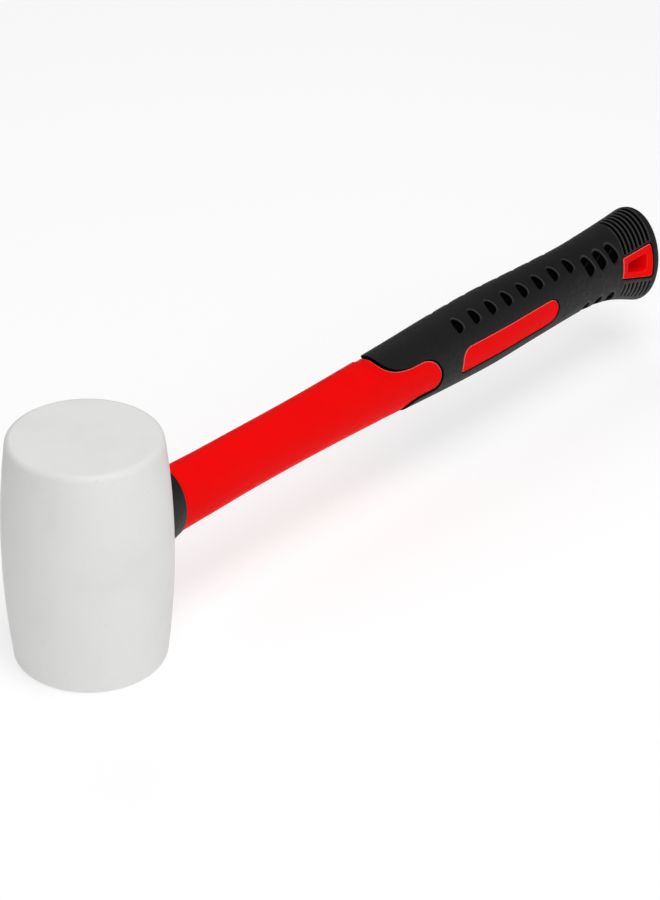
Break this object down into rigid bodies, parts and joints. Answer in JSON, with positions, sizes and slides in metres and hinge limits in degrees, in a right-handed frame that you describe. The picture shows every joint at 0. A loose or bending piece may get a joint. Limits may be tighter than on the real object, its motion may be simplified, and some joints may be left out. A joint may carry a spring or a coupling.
{
  "type": "rubber mallet",
  "caption": "Rubber mallet with a white barrel head, a red jacketed handle of oval section, a black soft grip with red side windows, and a hang hole.",
  "frame": {"origin": "centre of the lower striking face, with the head standing on that face", "axes": "+Z along the head's axis, from the lower striking face to the upper one; +X along the handle, from the head to the butt; +Y completes the right-handed frame"},
  "size_m": [0.3585, 0.062, 0.091],
  "materials": {
    "white_rubber": "smooth non-marking white rubber, satin, with a faint mould line and a soft sheen at the rims",
    "fibreglass": "pultruded glass fibre in resin, fine lengthwise fibres",
    "adhesive": "hardened epoxy resin",
    "red_plastic": "satin moulded polypropylene, bright red",
    "collar_rubber": "matt black moulded rubber",
    "grip_rubber": "matt black thermoplastic rubber with a very fine moulded grain"
  },
  "bodies": {
    "root": {"mallet_head": "white_rubber", "core_rod": "fibreglass", "epoxy_bond": "adhesive", "handle_jacket": "red_plastic", "neck_collar": "collar_rubber", "grip_sleeve": "grip_rubber"}
  },
  "joints": []
}
